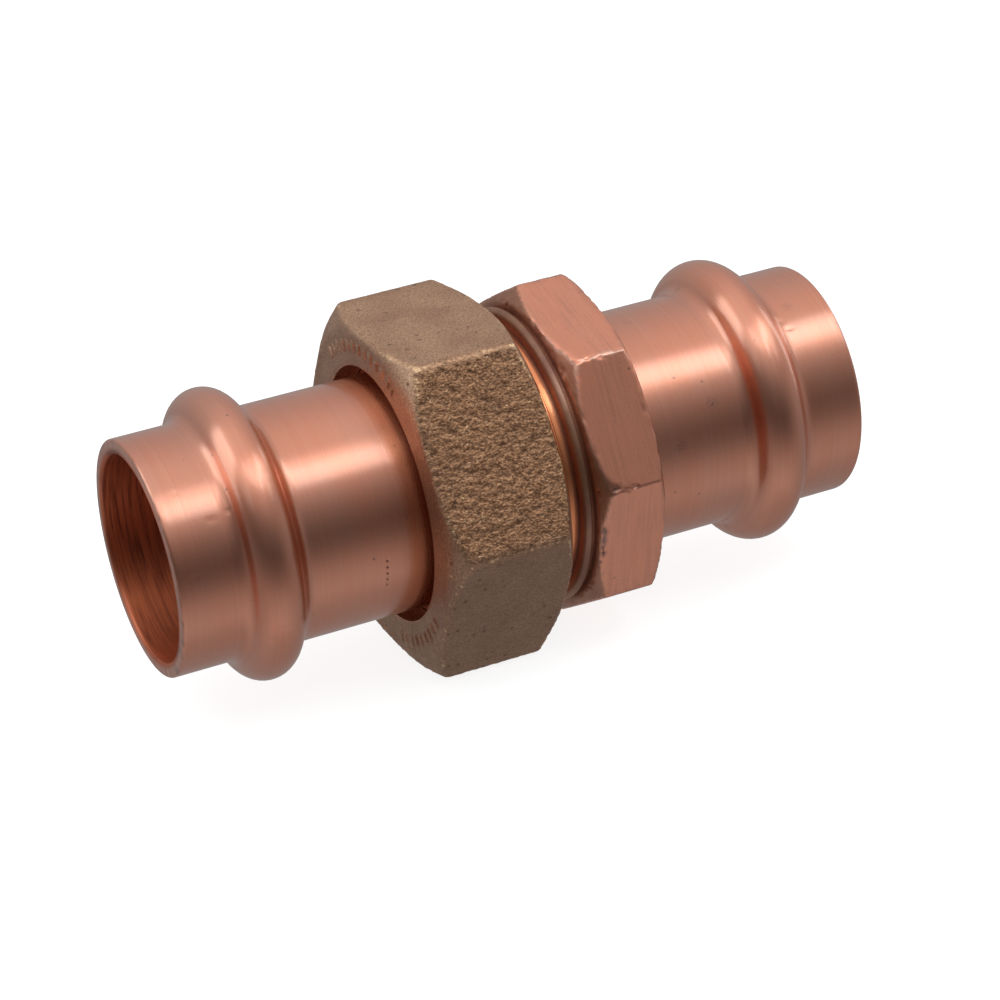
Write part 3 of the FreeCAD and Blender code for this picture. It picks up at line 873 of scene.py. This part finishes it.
def cast_marks(rings, angles):
    """Short raised bars in two arcs on the nut's front face: 1 on a bar, 0 off it."""
    degrees = np.degrees(angles)[:, None]
    out = rings[..., 1]
    bars = np.zeros(out.shape)
    for first, last in BAR_ARCS:
        along_arc = np.clip(np.cos((degrees - first) * TURN / BAR_PITCH) * 2.2 + 0.4, 0, 1)
        bars += along_arc * (degrees > first - 1.2) * (degrees < last)
    ring = np.clip((BAR_HALF_LENGTH - np.abs(out - BAR_CIRCLE)) / (0.2 * MM), 0, 1)
    on_face = rings[..., 0] < NUT_FRONT + 0.3 * MM
    return bars * ring * on_face


def make_nut():
    angles = even_angles(NUT_STEPS)
    inset = 3.0 * MM
    seat = NUT_ACROSS / 2 - inset
    rear_inset = 1.1 * MM
    rear_seat = NUT_ACROSS / 2 - rear_inset
    edge = 0.3 * MM
    rays = ray_row((NUT_FRONT + inset, NUT_OPENING + edge), (NUT_FRONT + inset, seat), 180, 5)
    rays += ray_fan((NUT_FRONT + inset, seat), 180, 90, 26)
    rays += ray_row((NUT_FRONT + inset, seat), (NUT_REAR - rear_inset, rear_seat), 90, 56)
    rays += ray_fan((NUT_REAR - rear_inset, rear_seat), 90, 0, 10)
    rays += ray_row((NUT_REAR - rear_inset, rear_seat), (NUT_REAR - rear_inset, NUT_COUNTERSINK), 0, 3)
    plain = skin(nut_shape, rays, angles)
    places = solid_points(plain, angles) * np.array([0.8, 1, 1])
    grains = pebbles(places, 0.5 * MM, 3)
    wrinkles = lattice_noise(places, 1.3 * MM, 4) + 0.6 * lattice_noise(places, 0.45 * MM, 6)
    hollow = np.clip(0.75 * grains ** 1.5 + 0.45 * wrinkles + 0.2, 0, 1)
    on_flats = np.clip(1 - np.abs(two_flats(plain[..., 1], angles[:, None], 6, NUT_ACROSS, 0)[0])
                       / (0.7 * MM), 0, 1)
    rough = FACE_GRAIN + (by_flat(FLAT_GRAIN, angles) - FACE_GRAIN) * on_flats
    dull = FACE_DARKENING + (by_flat(FLAT_DARKENING, angles) - FACE_DARKENING) * on_flats
    near = edge_nearness(nut_faces, plain, angles, 0.5 * MM)
    marks = cast_marks(plain, angles)
    recess = np.clip((RECESS - plain[..., 1]) / (0.5 * MM), 0, 1) * (plain[..., 0] < NUT_FRONT + MM)
    sink = hollow * rough * GRAIN_DEPTH + (recess - marks).clip(0, 1) * BAR_HEIGHT
    skin_rough = skin(nut_shape, rays, angles, sink)
    speckle = lattice_noise(places, 0.35 * MM, 9) + 0.5 * lattice_noise(places, 1.6 * MM, 10)
    worn = np.clip(near * 1.5 - 0.62 + 1.3 * speckle, 0, 1) * 0.75
    peaks = np.clip(1.6 * (0.28 - hollow) + 0.5 * speckle, 0, 1) * rough
    worn = np.maximum(worn, 0.8 * peaks)
    deep = np.clip((hollow - 0.62) * 2.2, 0, 1) * rough
    step = 1.2 * MM

    def outside_countersink(along, out):
        return np.maximum(out, NUT_COUNTERSINK - (NUT_REAR - along))

    thread = thread_run(angles, NUT_THREAD_START, NUT_REAR, THREAD_LEAD_IN + PITCH / 2, NUT_ROOT,
                        NUT_MAJOR, NUT_MINOR, outside_countersink)[:, ::-1]
    inner = [(NUT_THREAD_START, NUT_CAVITY)]
    straight(inner, NUT_FRONT + NUT_WALL, NUT_CAVITY, step)
    straight(inner, NUT_FRONT + NUT_WALL, NUT_OPENING, step)
    straight(inner, NUT_FRONT + edge, NUT_OPENING, step)
    runs = [skin_rough, thread, fixed(inner, angles)]
    marks = [("rough", 0, rough), ("worn", 0, worn), ("deep", 0, deep), ("dull", 0, dull)]
    piece = build_mesh("union_nut_shell", runs, angles, BRONZE, marks)
    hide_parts("union_nut")
    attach(piece, "union_nut")
    return piece


def make_seal(name, along, body):
    angles = even_angles(SEAL_STEPS)
    turns = [TURN * index / SEAL_SECTION_STEPS for index in range(SEAL_SECTION_STEPS)]
    ring = [(along + SEAL_SECTION * math.cos(turned), SEAL_CENTRE + SEAL_SECTION * math.sin(turned))
            for turned in turns]
    piece = build_mesh(name + "_ring", [fixed(ring, angles)], angles, RUBBER)
    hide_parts(name)
    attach(piece, body)
    return piece


make_tailpiece()
make_union_body()
make_nut()
make_seal("tailpiece_seal", LEFT_MOUTH + BEAD_DISTANCE, "tailpiece")
make_seal("body_seal", RIGHT_MOUTH - BEAD_DISTANCE, "union_body")


# ---------------------------------------------------------------------------------------------
# Stage, light and camera
# ---------------------------------------------------------------------------------------------


def aimed(place, aim, roll=0.0):
    """A matrix at a place that looks at a point."""
    back = (Vector(place) - Vector(aim)).normalized()
    right = Vector((0, 0, 1)).cross(back).normalized()
    up = back.cross(right)
    turned_right = right * math.cos(roll) + up * math.sin(roll)
    turned_up = up * math.cos(roll) - right * math.sin(roll)
    matrix = Matrix((turned_right, turned_up, back)).transposed().to_4x4()
    matrix.translation = Vector(place)
    return matrix


def around(azimuth, elevation, distance, centre=(0, 0, 0)):
    """A place seen from the centre: azimuth from -Y towards +X, both in degrees."""
    azimuth = math.radians(azimuth)
    elevation = math.radians(elevation)
    level = distance * math.cos(elevation)
    return (centre[0] + level * math.sin(azimuth), centre[1] - level * math.cos(azimuth),
            centre[2] + distance * math.sin(elevation))


FLOOR_HALF = 3.0


def add_floor():
    """White paper that the copper doesn't mirror: part of its brightness is its own."""
    material, tree = new_material("floor_paper")
    shader = add(tree, "BsdfPrincipled", {
        "Base Color": (0.4, 0.4, 0.4, 1), "Roughness": 0.9,
        "Emission Color": (1, 1, 1, 1), "Emission Strength": 0.86})
    finish_material(tree, shader)
    half = FLOOR_HALF
    low = cad_box[0][2]
    corners = [(-half, -half, low), (half, -half, low), (half, half, low), (-half, half, low)]
    mesh = bpy.data.meshes.new("floor")
    mesh.from_pydata(corners, [], [(0, 1, 2, 3)])
    mesh.materials.append(material)
    floor = bpy.data.objects.new("floor", mesh)
    floor.visible_glossy = False
    floor.visible_diffuse = False
    bpy.context.scene.collection.objects.link(floor)


# The softboxes, all at one distance: azimuth, elevation, width, height, radiance
LAMP_COLOUR = (0.80, 0.95, 1.0)
LAMP_DISTANCE = 0.7
LAMPS = {
    "left": (-112, 30, 0.38, 0.62, 1.25),
    "left_front": (-78, 42, 0.5, 0.36, 0.35),
    "right": (47, 59, 0.46, 0.17, 1.8),
    "right_high": (70, 44, 0.36, 0.24, 0.95),
    "over": (8, 72, 0.34, 0.15, 0.5),
    "right_low": (103, 12, 0.15, 0.5, 1.3),
    "top": (-34, 63, 0.40, 0.17, 1.0),
}


def add_softbox(name, azimuth, elevation, width, height, radiance):
    lamp = bpy.data.lights.new(name, "AREA")
    lamp.color = LAMP_COLOUR
    lamp.shape = "RECTANGLE"
    lamp.size = width
    lamp.size_y = height
    lamp.energy = radiance * math.pi * width * height
    holder = bpy.data.objects.new(name, lamp)
    holder.matrix_world = aimed(around(azimuth, elevation, LAMP_DISTANCE), (0, 0, 0))
    bpy.context.scene.collection.objects.link(holder)


# The studio as the metal sees it: brightness against the height of the direction, -1 to 1
BEHIND = [(-1.0, 0.31), (-0.7, 0.31), (-0.3, 0.32), (0.0, 0.42), (0.5, 0.54), (0.8, 0.68),
          (0.96, 0.85)]
BEFORE = [(-0.96, 0.38), (-0.8, 0.54), (-0.5, 0.36), (-0.2, 0.16), (0.05, 0.09), (0.3, 0.15),
          (0.5, 0.26), (0.68, 0.5), (0.82, 0.72), (0.96, 0.95)]
BEFORE_HEADING = math.radians(-28)


def brightness_by_height(tree, height, stops):
    share = remap(tree, height, -1, 1, 0, 1)
    ramp = add(tree, "ValToRGB", {"Fac": share})
    elements = ramp.color_ramp.elements
    while len(elements) < len(stops):
        elements.new(0.5)
    for element, (place, value) in zip(elements, stops):
        element.position = (place + 1) / 2
        element.color = (value, value, value, 1)
    return ramp.outputs["Color"]


def add_world():
    """White all round for the camera; grey, and darkest before the object, for the metal."""
    world = bpy.data.worlds.new("studio")
    world.use_nodes = True
    tree = world.node_tree
    tree.nodes.clear()
    heading = add(tree, "TexCoord").outputs["Generated"]
    height = add(tree, "SeparateXYZ", {0: heading}).outputs["Z"]
    towards = (math.sin(BEFORE_HEADING), -math.cos(BEFORE_HEADING), 0)
    facing = add(tree, "VectorMath", {0: heading, 1: towards}, operation="DOT_PRODUCT")
    before = remap(tree, facing.outputs["Value"], -0.35, 0.75, 0, 1)
    studio = blend_colours(tree, before, brightness_by_height(tree, height, BEHIND),
                           brightness_by_height(tree, height, BEFORE))
    seen = add(tree, "LightPath").outputs["Is Camera Ray"]
    colour = blend_colours(tree, seen, studio, (1, 1, 1, 1))
    background = add(tree, "Background", {"Color": colour, "Strength": 1.0})
    add(tree, "OutputWorld", {"Surface": background.outputs["Background"]})
    bpy.context.scene.world = world


CAMERA_AIM = (0.62 * MM, -2.13 * MM, -3.50 * MM)
CAMERA_AZIMUTH = -22.88
CAMERA_ELEVATION = 26.21
CAMERA_DISTANCE = 363.3 * MM
CAMERA_ROLL = math.radians(-4.93)
FOCAL_LENGTH = 121.24


def add_camera():
    lens = bpy.data.cameras.new("camera")
    lens.lens = FOCAL_LENGTH
    lens.sensor_width = 36
    lens.clip_start = 0.01
    camera = bpy.data.objects.new("camera", lens)
    place = around(CAMERA_AZIMUTH, CAMERA_ELEVATION, CAMERA_DISTANCE, CAMERA_AIM)
    camera.matrix_world = aimed(place, CAMERA_AIM, CAMERA_ROLL)
    bpy.context.scene.collection.objects.link(camera)
    bpy.context.scene.camera = camera


add_floor()
add_world()
for lamp_name, lamp_values in LAMPS.items():
    add_softbox(lamp_name, *lamp_values)
add_camera()
bpy.context.scene.view_settings.view_transform = "Standard"
